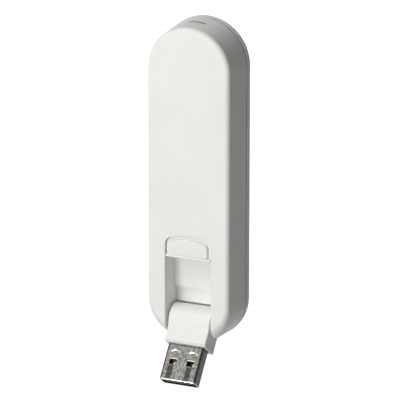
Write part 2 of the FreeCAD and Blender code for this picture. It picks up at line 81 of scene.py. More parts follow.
def add_node(tree, kind, settings=None, links=None):
    """A shader node with its settings and its incoming links"""
    node = tree.nodes.new(kind)
    for name, value in (settings or {}).items():
        if isinstance(name, int) or name in node.inputs:
            node.inputs[name].default_value = value
        else:
            setattr(node, name, value)
    for name, source in (links or {}).items():
        tree.links.new(source, node.inputs[name])
    return node


def start_material(name, surface):
    """A material with its surface shader, and the Object coordinates that its patterns read"""
    material = bpy.data.materials.new(name)
    material.use_nodes = True
    tree = material.node_tree
    tree.nodes.clear()
    shader = add_node(tree, "ShaderNodeBsdfPrincipled", surface)
    add_node(tree, "ShaderNodeOutputMaterial", links={"Surface": shader.outputs[0]})
    place = add_node(tree, "ShaderNodeTexCoord").outputs["Object"]
    return material, tree, shader, place


# Materials
def moulded_abs(name, look, roughness, shade_end=None):
    """Injection-moulded ABS with a fine eroded texture: an even soft white with a slight sheen"""
    material, tree, shader, place = start_material(name, {"IOR": 1.53, "Specular IOR Level": 0.2})
    # slow drift of tone where the plastic flowed
    flow = add_node(
        tree, "ShaderNodeTexNoise", {"Scale": per_mm(18.0), "Detail": 3.0}, {"Vector": place}
    )
    drift = add_node(
        tree, "ShaderNodeMapRange", {"From Min": 0.3, "From Max": 0.62}, {"Value": flow.outputs[0]}
    )
    tone = add_node(
        tree,
        "ShaderNodeMix",
        {"data_type": "RGBA", 6: tuple(look.housing_shade), 7: tuple(look.housing_colour)},
        {0: drift.outputs[0]},
    )
    # painted shade deep in the seam: the rim's face before its broken corner is drawn darker, where
    # the narrow gap falls in shade
    if shade_end:
        depth = add_node(tree, "ShaderNodeSeparateXYZ", links={0: place}).outputs[1]
        seam_shade_mask = add_node(
            tree,
            "ShaderNodeMapRange",
            {
                "From Min": shade_end - 0.05 * MM,
                "From Max": shade_end,
                "To Min": 1.0,
                "To Max": 0.0,
            },
            {"Value": depth},
        )
        tone = add_node(
            tree,
            "ShaderNodeMix",
            {"data_type": "RGBA", 7: linear("#72706C")},
            {0: seam_shade_mask.outputs[0], 6: tone.outputs[2]},
        )
    tree.links.new(tone.outputs[2], shader.inputs["Base Color"])
    # patches a few millimetres wide where hands have polished the texture a little
    handled = add_node(
        tree, "ShaderNodeTexNoise", {"Scale": per_mm(2.6), "Detail": 4.0}, {"Vector": place}
    )
    gloss = add_node(
        tree,
        "ShaderNodeMapRange",
        {"From Min": 0.3, "From Max": 0.7, "To Min": roughness - 0.04, "To Max": roughness + 0.05},
        {"Value": handled.outputs[0]},
    )
    tree.links.new(gloss.outputs[0], shader.inputs["Roughness"])
    # the real grain is under 0.1 mm; it is drawn coarser so that a render can hold it
    grain = add_node(
        tree, "ShaderNodeTexNoise", {"Scale": per_mm(look.grain), "Detail": 3.0}, {"Vector": place}
    )
    relief = add_node(
        tree, "ShaderNodeBump", {"Distance": 0.006 * MM}, {"Height": grain.outputs[0]}
    )
    tree.links.new(relief.outputs[0], shader.inputs["Normal"])
    return material


def distance_from(tree, axis, centre):
    """How far each place lies from the plane at that centre across one axis"""
    off = add_node(tree, "ShaderNodeMath", {"operation": "SUBTRACT", 1: centre}, {0: axis})
    return add_node(
        tree, "ShaderNodeMath", {"operation": "ABSOLUTE"}, {0: off.outputs[0]}
    ).outputs[0]


def rub_tracks(tree, size, axes):
    """Mask of the two tracks that a socket's springs rub from the windows to the tip"""
    tracks = []
    for centre in TRACK_CENTRES:
        tracks.append(add_node(
            tree,
            "ShaderNodeMapRange",
            {"From Min": 0.7 * MM, "From Max": 1.1 * MM, "To Min": 1.0, "To Max": 0.0},
            {"Value": distance_from(tree, axes[0], centre)},
        ).outputs[0])
    rubbed = add_node(
        tree, "ShaderNodeMath", {"operation": "MAXIMUM"}, {0: tracks[0], 1: tracks[1]}
    )
    window_edge = size.window_from_tip - size.reach
    below = add_node(
        tree,
        "ShaderNodeMapRange",
        {"From Min": window_edge - 0.5 * MM, "From Max": window_edge, "To Min": 0.9, "To Max": 0.0},
        {"Value": axes[2]},
    )
    return add_node(
        tree,
        "ShaderNodeMath",
        {"operation": "MULTIPLY"},
        {0: rubbed.outputs[0], 1: below.outputs[0]},
    ).outputs[0]


def pressed_slopes(tree, size, aside, across):
    """Mask of the slopes of the dimples and windows, which lie just below the plug's face"""
    sunk = add_node(
        tree,
        "ShaderNodeMapRange",
        {
            "From Min": size.thickness / 2 - 0.05 * MM,
            "From Max": size.thickness / 2 - 0.02 * MM,
            "To Min": 0.65,
            "To Max": 0.0,
        },
        {"Value": across},
    )
    flat = add_node(
        tree,
        "ShaderNodeMapRange",
        {
            "From Min": size.width / 2 - size.corner - 0.1 * MM,
            "From Max": size.width / 2 - size.corner,
            "To Min": 1.0,
            "To Max": 0.0,
        },
        {"Value": aside},
    )
    return add_node(
        tree,
        "ShaderNodeMath",
        {"operation": "MULTIPLY"},
        {0: sunk.outputs[0], 1: flat.outputs[0]},
    ).outputs[0]


def tube_inside(tree, size, aside, across):
    """Mask of the tube's inner walls"""
    depths = []
    for distance, half in ((aside, size.width / 2), (across, size.thickness / 2)):
        depths.append(add_node(
            tree,
            "ShaderNodeMapRange",
            {
                "From Min": half - 0.75 * size.sheet,
                "From Max": half - 0.55 * size.sheet,
                "To Min": 1.0,
                "To Max": 0.0,
            },
            {"Value": distance},
        ).outputs[0])
    return add_node(
        tree, "ShaderNodeMath", {"operation": "MULTIPLY"}, {0: depths[0], 1: depths[1]}
    ).outputs[0]


def nickel_steel(size):
    """Nickel-plated drawn steel, scuffed by many ports: a mottled grey with darker rub tracks"""
    material, tree, shader, place = start_material("nickel_plated_steel", {"Metallic": 1.0})
    # coordinates along the plug as it hangs, with the hinge line as origin
    hung = add_node(
        tree,
        "ShaderNodeMapping",
        {"vector_type": "TEXTURE", "Location": HINGE, "Rotation": (SWING, 0.0, 0.0)},
        {"Vector": place},
    ).outputs[0]
    axes = add_node(tree, "ShaderNodeSeparateXYZ", links={0: hung}).outputs
    aside = distance_from(tree, axes[0], 0.0)
    across = distance_from(tree, axes[1], size.back_set)
    # brush lines that the drawing die leaves, three times as long as they are wide; the real
    # ones are under 0.1 mm apart and are drawn coarser so that a render can hold them
    stretched = add_node(
        tree, "ShaderNodeMapping", {"Scale": (1.0, 1.0, 0.3)}, {"Vector": hung}
    )
    brushed = add_node(
        tree,
        "ShaderNodeTexNoise",
        {"Scale": per_mm(0.36), "Detail": 3.0, "Roughness": 0.7},
        {"Vector": stretched.outputs[0]},
    )
    # scuffs a few tenths of a millimetre wide
    scuffed = add_node(
        tree,
        "ShaderNodeTexNoise",
        {"Scale": per_mm(0.6), "Detail": 6.0, "Roughness": 0.8},
        {"Vector": hung},
    )
    worn = add_node(
        tree,
        "ShaderNodeMath",
        {"operation": "ADD"},
        {0: brushed.outputs[0], 1: scuffed.outputs[0]},
    )
    worn = add_node(
        tree, "ShaderNodeMapRange", {"From Min": 0.8, "From Max": 1.2}, {"Value": worn.outputs[0]}
    )
    plain = add_node(
        tree,
        "ShaderNodeMix",
        {"data_type": "RGBA", 6: linear("#1E1E1D"), 7: linear("#6F6E6B")},
        {0: worn.outputs[0]},
    )
    tracked = add_node(
        tree,
        "ShaderNodeMix",
        {"data_type": "RGBA", "blend_type": "MULTIPLY", 7: linear("#7E7B79")},
        {0: rub_tracks(tree, size, axes), 6: plain.outputs[2]},
    )
    # painted shade: the long corners and the sides are drawn darker than the steel's own grey,
    # standing in for the dark they reflect
    painted_corner_shade = add_node(
        tree,
        "ShaderNodeMapRange",
        {
            "From Min": size.width / 2 - 0.75 * MM,
            "From Max": size.width / 2 - 0.5 * MM,
            "To Max": 0.8,
        },
        {"Value": aside},
    )
    corners_shaded = add_node(
        tree,
        "ShaderNodeMix",
        {"data_type": "RGBA", 7: linear("#262321")},
        {0: painted_corner_shade.outputs[0], 6: tracked.outputs[2]},
    )
    # painted highlight: the rim at the tip is drawn bright where it catches the low lamp
    painted_rim_highlight = add_node(
        tree,
        "ShaderNodeMapRange",
        {"From Min": 0.3 * MM - size.reach, "From Max": 0.2 * MM - size.reach, "To Max": 0.7},
        {"Value": axes[2]},
    )
    rim_highlighted = add_node(
        tree,
        "ShaderNodeMix",
        {"data_type": "RGBA", 7: linear("#C9C7C2")},
        {0: painted_rim_highlight.outputs[0], 6: corners_shaded.outputs[2]},
    )
    # painted highlight on the pressed slopes of the dimples and windows, where they catch the low
    # lamp
    slopes_highlighted = add_node(
        tree,
        "ShaderNodeMix",
        {"data_type": "RGBA", 7: linear("#C9C7C2")},
        {0: pressed_slopes(tree, size, aside, across), 6: rim_highlighted.outputs[2]},
    )
    # painted shade inside the tube: its inner walls, and the dimple floors and cut faces that lie
    # as deep in the sheet, are drawn near black
    inside_shaded = add_node(
        tree,
        "ShaderNodeMix",
        {"data_type": "RGBA", 7: linear("#141312")},
        {0: tube_inside(tree, size, aside, across), 6: slopes_highlighted.outputs[2]},
    )
    tree.links.new(inside_shaded.outputs[2], shader.inputs["Base Color"])
    gloss = add_node(
        tree,
        "ShaderNodeMapRange",
        {"From Min": 0.3, "From Max": 0.7, "To Min": 0.22, "To Max": 0.4},
        {"Value": scuffed.outputs[0]},
    )
    tree.links.new(gloss.outputs[0], shader.inputs["Roughness"])
    relief = add_node(
        tree, "ShaderNodeBump", {"Distance": 0.008 * MM}, {"Height": worn.outputs[0]}
    )
    tree.links.new(relief.outputs[0], shader.inputs["Normal"])
    return material


def mottled(name, low, high, cell_mm, roughness, relief_mm, surface):
    """A plain surface whose tone and gloss drift from patch to patch"""
    material, tree, shader, place = start_material(name, surface)
    patches = add_node(
        tree, "ShaderNodeTexNoise", {"Scale": per_mm(cell_mm), "Detail": 4.0}, {"Vector": place}
    )
    drift = add_node(
        tree,
        "ShaderNodeMapRange",
        {"From Min": 0.3, "From Max": 0.7},
        {"Value": patches.outputs[0]},
    )
    tone = add_node(
        tree,
        "ShaderNodeMix",
        {"data_type": "RGBA", 6: linear(low), 7: linear(high)},
        {0: drift.outputs[0]},
    )
    tree.links.new(tone.outputs[2], shader.inputs["Base Color"])
    gloss = add_node(
        tree,
        "ShaderNodeMapRange",
        {"To Min": roughness * 0.85, "To Max": roughness * 1.15},
        {"Value": drift.outputs[0]},
    )
    tree.links.new(gloss.outputs[0], shader.inputs["Roughness"])
    # a finer tooth in the same surface
    tooth = add_node(
        tree,
        "ShaderNodeTexNoise",
        {"Scale": per_mm(cell_mm / 3.0), "Detail": 3.0},
        {"Vector": place},
    )
    relief = add_node(
        tree, "ShaderNodeBump", {"Distance": relief_mm * MM}, {"Height": tooth.outputs[0]}
    )
    tree.links.new(relief.outputs[0], shader.inputs["Normal"])
    return material


def solder_mask():
    """Green solder mask over etched copper: tracks show through as slightly paler, raised lines"""
    material, tree, shader, place = start_material("solder_mask", {"IOR": 1.55, "Roughness": 0.3})
    # rows 0.8 mm apart, turned to lie on the board's face
    turned = add_node(
        tree, "ShaderNodeMapping", {"Rotation": (math.radians(90), 0.0, 0.0)}, {"Vector": place}
    )
    tracks = add_node(
        tree,
        "ShaderNodeTexBrick",
        {
            "Scale": per_mm(1.6),
            "Color1": linear("#0F5B34"),
            "Color2": linear("#0C4C2B"),
            "Mortar": linear("#1F7A49"),
            "Mortar Size": 0.06,
            "Mortar Smooth": 0.2,
            "Brick Width": 2.6,
            "Row Height": 0.5,
        },
        {"Vector": turned.outputs[0]},
    )
    tree.links.new(tracks.outputs["Color"], shader.inputs["Base Color"])
    relief = add_node(
        tree, "ShaderNodeBump", {"Distance": 0.03 * MM}, {"Height": tracks.outputs["Fac"]}
    )
    tree.links.new(relief.outputs[0], shader.inputs["Normal"])
    return material


def smoked_polycarbonate():
    """Smoked polycarbonate: nearly black while the light behind it is off, with a matt nose"""
    material, tree, shader, place = start_material(
        "smoked_polycarbonate",
        {"IOR": 1.585, "Transmission Weight": 0.25, "Specular IOR Level": 0.02},
    )
    # faint ripple about 1.5 mm long from the mould
    ripple = add_node(
        tree, "ShaderNodeTexNoise", {"Scale": per_mm(1.5), "Detail": 2.0}, {"Vector": place}
    )
    tone = add_node(
        tree,
        "ShaderNodeMix",
        {"data_type": "RGBA", 6: linear("#1C1B1A"), 7: linear("#2A2826")},
        {0: ripple.outputs[0]},
    )
    tree.links.new(tone.outputs[2], shader.inputs["Base Color"])
    gloss = add_node(
        tree, "ShaderNodeMapRange", {"To Min": 0.42, "To Max": 0.55}, {"Value": ripple.outputs[0]}
    )
    tree.links.new(gloss.outputs[0], shader.inputs["Roughness"])
    return material


# Modelling helpers
def pick_none():
    """Leaves nothing selected, in object mode"""
    if bpy.context.object and bpy.context.object.mode != "OBJECT":
        bpy.ops.object.mode_set(mode="OBJECT")
    bpy.ops.object.select_all(action="DESELECT")


def pick_only(piece):
    """Leaves one piece selected and active"""
    pick_none()
    piece.select_set(True)
    bpy.context.view_layer.objects.active = piece


def pick_faces(piece, wanted):
    """In edit mode, selects the faces for which wanted(face) is true"""
    bpy.ops.object.mode_set(mode="EDIT")
    bpy.ops.mesh.select_mode(type="FACE")
    bpy.ops.mesh.select_all(action="DESELECT")
    bpy.ops.object.mode_set(mode="OBJECT")
    for face in piece.data.polygons:
        face.select = wanted(face)
    bpy.ops.object.mode_set(mode="EDIT")


def pick_edges(piece, wanted):
    """In edit mode, selects the edges for which wanted(start, end) is true"""
    bpy.ops.object.mode_set(mode="EDIT")
    bpy.ops.mesh.select_mode(type="EDGE")
    bpy.ops.mesh.select_all(action="DESELECT")
    bpy.ops.object.mode_set(mode="OBJECT")
    points = piece.data.vertices
    for edge in piece.data.edges:
        edge.select = wanted(points[edge.vertices[0]].co, points[edge.vertices[1]].co)
    bpy.ops.object.mode_set(mode="EDIT")


def modify(piece, kind, **settings):
    """Adds a modifier and applies it"""
    pick_only(piece)
    bpy.ops.object.modifier_add(type=kind)
    modifier = piece.modifiers[-1]
    for name, value in settings.items():
        setattr(modifier, name, value)
    bpy.ops.object.modifier_apply(modifier=modifier.name)


def settle(piece):
    """Puts the piece's place into its mesh"""
    pick_only(piece)
    bpy.ops.object.transform_apply(location=True, rotation=True, scale=True)


def swing_plug(piece):
    """Swings a piece drawn hanging from the hinge to the plug's rest tilt"""
    piece.rotation_euler = (SWING, 0.0, 0.0)
    piece.location = HINGE
    settle(piece)


def finish(piece, material, body, nodes=(), smooth=32.0):
    """Shades a piece, gives it its material and ties it to its CAD body"""
    pick_only(piece)
    bpy.ops.object.shade_smooth_by_angle(angle=math.radians(smooth))
    modify(piece, "WEIGHTED_NORMAL", mode="FACE_AREA", weight=80, keep_sharp=True)
    piece.data.materials.clear()
    piece.data.materials.append(material)
    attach(piece, body)
    if nodes:
        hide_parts(*nodes)
    return piece


def moulded_piece(name, node, corner_break, material, body, smooth=32.0, cutter=None):
    """Merged copy of a CAD moulding with its corners broken as a mould leaves them"""
    pick_none()
    piece = bpy.data.objects.new(name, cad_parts[node].data.copy())
    bpy.context.scene.collection.objects.link(piece)
    pick_only(piece)
    bpy.ops.object.mode_set(mode="EDIT")
    bpy.ops.mesh.select_all(action="SELECT")
    bpy.ops.mesh.remove_doubles(threshold=2e-6)
    bpy.ops.mesh.customdata_custom_splitnormals_clear()
    bpy.ops.mesh.dissolve_limited(angle_limit=math.radians(0.4))
    bpy.ops.object.mode_set(mode="OBJECT")
    if cutter:
        modify(piece, "BOOLEAN", operation="DIFFERENCE", solver="EXACT", object=cutter)
        bpy.data.objects.remove(cutter)
    if corner_break:
        modify(
            piece,
            "BEVEL",
            width=corner_break,
            segments=2,
            limit_method="ANGLE",
            angle_limit=math.radians(38.0),
            use_clamp_overlap=True,
            miter_outer="MITER_ARC",
        )
    return finish(piece, material, body, (node,), smooth)


def dress(nodes, material):
    """Gives CAD nodes whose shape is right their material"""
    for node in nodes:
        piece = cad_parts[node]
        if not piece.material_slots:
            piece.data.materials.append(material)
        for place in piece.material_slots:
            place.material = material


# Settings
class RepeaterPlastic(bpy.types.PropertyGroup):
    """Colours and corners of the white mouldings"""

    housing_colour: FloatVectorProperty(
        name="Housing",
        description="Colour of the front shell and rear cover",
        subtype="COLOR",
        size=4,
        min=0.0,
        max=1.0,
        default=linear("#EEEDEA"),
    )
    housing_shade: FloatVectorProperty(
        name="Housing shade",
        description="Slightly darker tone of the same plastic where it flowed last",
        subtype="COLOR",
        size=4,
        min=0.0,
        max=1.0,
        default=linear("#EAE9E5"),
    )
    grain: FloatProperty(
        name="Grain",
        description="Width of the texture's cells in millimetres",
        default=0.35,
        min=0.05,
        max=2.0,
    )
    # where the painted shade in the seam ends
    seam_shade: FloatProperty(
        name="Seam shade",
        description="Place on the Y axis, which runs to the back, where the seam's shade ends",
        unit="LENGTH",
        default=11.91 * MM,
        min=0.0,
    )
    corner_break: FloatProperty(
        name="Corner break",
        description="Width of the tiny round that a mould leaves on sharp corners",
        unit="LENGTH",
        default=0.12 * MM,
        min=0.0,
        max=0.5 * MM,
    )


class RepeaterPlug(bpy.types.PropertyGroup):
    """Sizes of the USB plug's steel shell"""

    width: FloatProperty(
        name="Width",
        description="Outside width of the steel shell",
        unit="LENGTH",
        default=12.0 * MM,
        min=0.0,
    )
    thickness: FloatProperty(
        name="Thickness",
        description="Outside thickness of the steel shell",
        unit="LENGTH",
        default=4.5 * MM,
        min=0.0,
    )
    sheet: FloatProperty(
        name="Sheet",
        description="Thickness of the steel sheet",
        unit="LENGTH",
        default=0.3 * MM,
        min=0.0,
    )
    corner: FloatProperty(
        name="Corner",
        description="Outside radius of the shell's long corners",
        unit="LENGTH",
        default=0.6 * MM,
        min=0.0,
    )
    tail: FloatProperty(
        name="Tail",
        description="Distance from the hinge to the shell's hidden end",
        unit="LENGTH",
        default=4.2 * MM,
        min=0.0,
    )
    reach: FloatProperty(
        name="Reach",
        description="Distance from the hinge to the shell's tip",
        unit="LENGTH",
        default=20.75 * MM,
        min=0.0,
    )
    back_set: FloatProperty(
        name="Set back",
        description="How far the shell's middle lies behind the hinge line",
        unit="LENGTH",
        default=1.15 * MM,
    )
    window_width: FloatProperty(
        name="Window width",
        description="Width of each latch window",
        unit="LENGTH",
        default=2.4 * MM,
        min=0.0,
    )
    window_height: FloatProperty(
        name="Window height",
        description="Length of each latch window along the plug",
        unit="LENGTH",
        default=1.8 * MM,
        min=0.0,
    )
    window_centre: FloatProperty(
        name="Window centre",
        description="Distance of each window from the middle of the plug",
        unit="LENGTH",
        default=2.95 * MM,
        min=0.0,
    )
    window_from_tip: FloatProperty(
        name="Window from tip",
        description="Distance from the tip to the near edge of the windows",
        unit="LENGTH",
        default=5.1 * MM,
        min=0.0,
    )
    dimple_width: FloatProperty(
        name="Dimple width",
        description="Width of each half-moon dimple pressed into the front face",
        unit="LENGTH",
        default=3.5 * MM,
        min=0.0,
    )
    dimple_height: FloatProperty(
        name="Dimple height",
        description="Length of each dimple along the plug, from its widest line to its round top",
        unit="LENGTH",
        default=1.1 * MM,
        min=0.0,
    )
    dimple_depth: FloatProperty(
        name="Dimple depth",
        description="Depth of each dimple, less than the sheet's thickness",
        unit="LENGTH",
        default=0.25 * MM,
        min=0.0,
    )
    dimple_slope: FloatProperty(
        name="Dimple slope",
        description="Length along the plug over which a dimple sinks to its full depth",
        unit="LENGTH",
        default=0.6 * MM,
        min=0.0,
    )
    dimple_centre: FloatProperty(
        name="Dimple centre",
        description="Distance of each dimple from the middle of the plug",
        unit="LENGTH",
        default=3.0 * MM,
        min=0.0,
    )
    dimple_from_tip: FloatProperty(
        name="Dimple from tip",
        description="Distance from the tip to the widest line of the dimples",
        unit="LENGTH",
        default=8.9 * MM,
        min=0.0,
    )
    coin_length: FloatProperty(
        name="Coined edge length",
        description="Length along the plug of the slope that leads into each window",
        unit="LENGTH",
        default=0.25 * MM,
        min=0.0,
    )
    coin_depth: FloatProperty(
        name="Coined edge depth",
        description="Depth of that slope at the window, less than the sheet's thickness",
        unit="LENGTH",
        default=0.12 * MM,
        min=0.0,
    )
    lead_in: FloatProperty(
        name="Lead-in",
        description="Length of the drawn-in rim at the tip",
        unit="LENGTH",
        default=0.2 * MM,
        min=0.0,
    )
    draw_in: FloatProperty(
        name="Draw in",
        description="How far the rim is drawn in at its edge",
        unit="LENGTH",
        default=0.08 * MM,
        min=0.0,
    )


class RepeaterStudio(bpy.types.PropertyGroup):
    """Camera and lamps"""

    azimuth: FloatProperty(
        name="Azimuth",
        description="Angle of the camera round the stick, from its front toward its right side",
        subtype="ANGLE",
        default=math.radians(24.315),
    )
    elevation: FloatProperty(
        name="Elevation",
        description="Angle of the camera above the horizon",
        subtype="ANGLE",
        default=math.radians(17.560),
    )
    roll: FloatProperty(
        name="Roll",
        description="Tilt of the camera about its own line of sight",
        subtype="ANGLE",
        default=math.radians(0.066),
    )
    distance: FloatProperty(
        name="Distance",
        description="Distance from the camera to the point that it looks at",
        unit="LENGTH",
        default=1185.861 * MM,
        min=0.1,
    )
    lens: FloatProperty(
        name="Lens",
        description="Focal length in millimetres on a 36 mm sensor",
        default=346.37,
        min=10.0,
    )
    target: FloatVectorProperty(
        name="Target",
        description="Point that the camera looks at",
        subtype="TRANSLATION",
        size=3,
        default=(1.003 * MM, 6.248 * MM, 46.417 * MM),
    )
    floor_drop: FloatProperty(
        name="Floor drop",
        description="How far below the hinge the floor lies, so that the stick can swing down",
        unit="LENGTH",
        default=81.0 * MM,
        min=20.0 * MM,
    )
    key_power: FloatProperty(
        name="Key",
        description="Power of the low lamp before the stick, in watts",
        default=2.95,
        min=0.0,
    )
    fill_power: FloatProperty(
        name="Fill",
        description="Power of the low lamp to the right of the key lamp, in watts",
        default=1.0,
        min=0.0,
    )
    top_power: FloatProperty(
        name="Top",
        description="Power of the lamp above and before the stick, in watts",
        default=3.5,
        min=0.0,
    )
    back_power: FloatProperty(
        name="Back",
        description="Power of the lamp above and behind the stick, in watts",
        default=1.0,
        min=0.0,
    )
    rear_power: FloatProperty(
        name="Rear",
        description="Power of the low lamp behind the stick, in watts",
        default=1.8,
        min=0.0,
    )
    ambient: FloatProperty(
        name="Ambient",
        description="Strength of the even light from all round",
        default=0.01,
        min=0.0,
    )


# Pieces
class REPEATER_OT_housing(bpy.types.Operator):
    """Finish the front shell and the rear cover"""

    bl_idname = "repeater.housing"
    bl_label = "Housing"

    def execute(self, context):
        look = context.scene.repeater_plastic
        white = moulded_abs("moulded_abs_housing", look, 0.4)
        moulded_piece(
            "housing_front", "front_shell", look.corner_break, white, "housing"
        )
        cover = moulded_abs("moulded_abs_cover", look, 0.4, look.seam_shade)
        moulded_piece(
            "housing_back", "rear_cover", look.corner_break, cover, "housing"
        )
        return {"FINISHED"}


class REPEATER_OT_press_pad(bpy.types.Operator):
    """Finish the press pad above the bay"""

    bl_idname = "repeater.press_pad"
    bl_label = "Press pad"

    def execute(self, context):
        look = context.scene.repeater_plastic
        white = moulded_abs("moulded_abs_pad", look, 0.4)
        moulded_piece("button_pad", "press_pad", 0.0, white, "pad")
        return {"FINISHED"}


class REPEATER_OT_plug_carrier(bpy.types.Operator):
    """Finish the two halves of the hinged plug carrier"""

    bl_idname = "repeater.plug_carrier"
    bl_label = "Plug carrier"

    def execute(self, context):
        look = context.scene.repeater_plastic
        white = moulded_abs("moulded_abs_carrier", look, 0.32)
        # keeps the crease between barrel and block sharp, and the barrel's facets smooth
        smooth = 14.0
        cutter = self.end_slope()
        moulded_piece(
            "hinge_front", "carrier_front", 0.0, white, "plug", smooth, cutter
        )
        moulded_piece("hinge_back", "carrier_rear", 0.0, white, "plug", smooth)
        return {"FINISHED"}

    def end_slope(self):
        """Cutter that slopes off the block's lower front edge at 45 degrees"""
        inset = 0.3 * MM
        pick_none()
        bpy.ops.mesh.primitive_cube_add(size=1.0, location=(0.0, 0.0, -0.5))
        cutter = bpy.context.object
        settle(cutter)
        cutter.scale = (20.0 * MM, 4.0 * MM, 2.0 * MM)
        cutter.rotation_euler = (math.radians(-45.0), 0.0, 0.0)
        cutter.location = (0.0, inset - BLOCK_FRONT, inset - BLOCK_END)
        settle(cutter)
        swing_plug(cutter)
        return cutter


class REPEATER_OT_plug_shell(bpy.types.Operator):
    """Model the steel shell of the USB plug with its windows, pressed dimples and drawn-in tip"""

    bl_idname = "repeater.plug_shell"
    bl_label = "Plug shell"

    def execute(self, context):
        size = context.scene.repeater_plug
        shell = self.tube(size)
        for cutter in (self.window(size), self.coined_edge(size), self.dimple(size)):
            for piece in (cutter, self.other_side(cutter)):
                modify(shell, "BOOLEAN", operation="DIFFERENCE", solver="EXACT", object=piece)
                bpy.data.objects.remove(piece)
        modify(
            shell,
            "BEVEL",
            width=0.06 * MM,
            segments=2,
            limit_method="ANGLE",
            angle_limit=math.radians(50.0),
            use_clamp_overlap=True,
        )
        swing_plug(shell)
        finish(shell, nickel_steel(size), "plug", ("usb_shell",), 18.0)
        return {"FINISHED"}

    def tube(self, size):
        """Sheet folded into a flat tube with rounded long corners, drawn in a little at the tip"""
        pick_none()
        tip = size.reach - size.lead_in
        bpy.ops.mesh.primitive_cube_add(
            size=1.0,
            location=(0.0, size.back_set, -(size.tail + tip) / 2),
            scale=(size.width, size.thickness, tip - size.tail),
        )
        shell = bpy.context.object
        shell.name = shell.data.name = "plug_shell"
        settle(shell)
        pick_faces(shell, lambda face: abs(face.normal.z) > 0.9)
        bpy.ops.mesh.delete(type="FACE")
        pick_edges(shell, lambda a, b: abs(a.z - b.z) > 0.9 * (tip - size.tail))
        bpy.ops.mesh.bevel(offset=size.corner, offset_type="OFFSET", segments=6, affect="EDGES")
        pick_edges(shell, lambda a, b: max(a.z, b.z) < 0.1 * MM - tip)
        bpy.ops.mesh.extrude_edges_move(
            TRANSFORM_OT_translate={"value": (0.0, 0.0, -size.lead_in)}
        )
        bpy.ops.transform.resize(
            value=(1 - 2 * size.draw_in / size.width, 1 - 2 * size.draw_in / size.thickness, 1.0),
            center_override=(0.0, size.back_set, -size.reach),
        )
        bpy.ops.object.mode_set(mode="OBJECT")
        modify(shell, "SOLIDIFY", thickness=size.sheet, offset=-1.0, use_even_offset=True)
        return shell

    def window(self, size):
        """Cutter for the left latch window, through both faces, with slightly rounded corners"""
        pick_none()
        middle = size.reach - size.window_from_tip - size.window_height / 2
        bpy.ops.mesh.primitive_cube_add(
            size=1.0,
            location=(-size.window_centre, size.back_set, -middle),
            scale=(size.window_width, size.thickness * 2, size.window_height),
        )
        cutter = bpy.context.object
        settle(cutter)
        pick_edges(cutter, lambda a, b: abs(a.y - b.y) > size.thickness)
        bpy.ops.mesh.bevel(offset=0.15 * MM, offset_type="OFFSET", segments=3, affect="EDGES")
        bpy.ops.object.mode_set(mode="OBJECT")
        return cutter

    def coined_edge(self, size):
        """Cutter for the slope that leads into the left window from the hinge side"""
        pick_none()
        face = size.back_set - size.thickness / 2
        edge = -(size.reach - size.window_from_tip - size.window_height)
        slope = math.atan2(size.coin_depth, size.coin_length)
        bpy.ops.mesh.primitive_cube_add(size=1.0, location=(0.0, -0.5, -0.5))
        cutter = bpy.context.object
        settle(cutter)
        cutter.scale = (size.window_width, 1.0 * MM, 2.0 * size.coin_length)
        cutter.rotation_euler = (slope, 0.0, 0.0)
        cutter.location = (-size.window_centre, face, edge + size.coin_length)
        settle(cutter)
        return cutter

    def dimple(self, size):
        """Cutter for the left half-moon dimple in the front face, straight toward the tip"""
        pick_none()
        face = size.back_set - size.thickness / 2
        edge = -(size.reach - size.dimple_from_tip)
        proud = 0.5 * size.dimple_depth
        rise = size.dimple_slope / size.dimple_depth
        bpy.ops.mesh.primitive_cone_add(
            vertices=64,
            radius1=size.dimple_height + proud * rise,
            radius2=size.dimple_height - size.dimple_slope,
            depth=size.dimple_depth + proud,
            location=(-size.dimple_centre, face + (size.dimple_depth - proud) / 2, edge),
            rotation=(math.radians(-90.0), 0.0, 0.0),
            scale=(size.dimple_width / (2 * size.dimple_height), 1.0, 1.0),
        )
        cutter = bpy.context.object
        settle(cutter)
        bpy.ops.object.mode_set(mode="EDIT")
        bpy.ops.mesh.select_all(action="SELECT")
        bpy.ops.mesh.bisect(
            plane_co=(0.0, face, edge + 0.25 * size.dimple_height),
            plane_no=(0.0, 0.0, -1.0),
            use_fill=True,
            clear_outer=True,
        )
        bpy.ops.object.mode_set(mode="OBJECT")
        return cutter

    def other_side(self, cutter):
        """Copy of a left cutter moved to the same place on the right"""
        pick_only(cutter)
        bpy.ops.object.duplicate()
        copy = bpy.context.object
        middle = sum(vertex.co.x for vertex in copy.data.vertices) / len(copy.data.vertices)
        bpy.ops.transform.translate(value=(-2 * middle, 0.0, 0.0))
        settle(copy)
        return copy


class REPEATER_OT_plug_core(bpy.types.Operator):
    """Finish the insulating tongue and the four contacts inside the plug"""

    bl_idname = "repeater.plug_core"
    bl_label = "Plug core"

    def execute(self, context):
        # black glass-filled polymer: dull, with a slight mottle of fibre ends
        black = mottled(
            "glass_filled_polymer", "#121211", "#232220", 0.8, 0.5, 0.01, {"IOR": 1.6}
        )
        dress(["usb_tongue"], black)
        # hard gold over nickel: warm and bright, with faint wiping marks
        gold = mottled(
            "gold_plating", "#B39064", "#D9BD90", 0.5, 0.28, 0.004, {"Metallic": 1.0}
        )
        dress(["power_contacts", "data_contacts"], gold)
        return {"FINISHED"}


class REPEATER_OT_light_guide(bpy.types.Operator):
    """Finish the smoked guide that fills the slot in the top wall"""

    bl_idname = "repeater.light_guide"
    bl_label = "Light guide"

    def execute(self, context):
        dress(["light_guide"], smoked_polycarbonate())
        return {"FINISHED"}


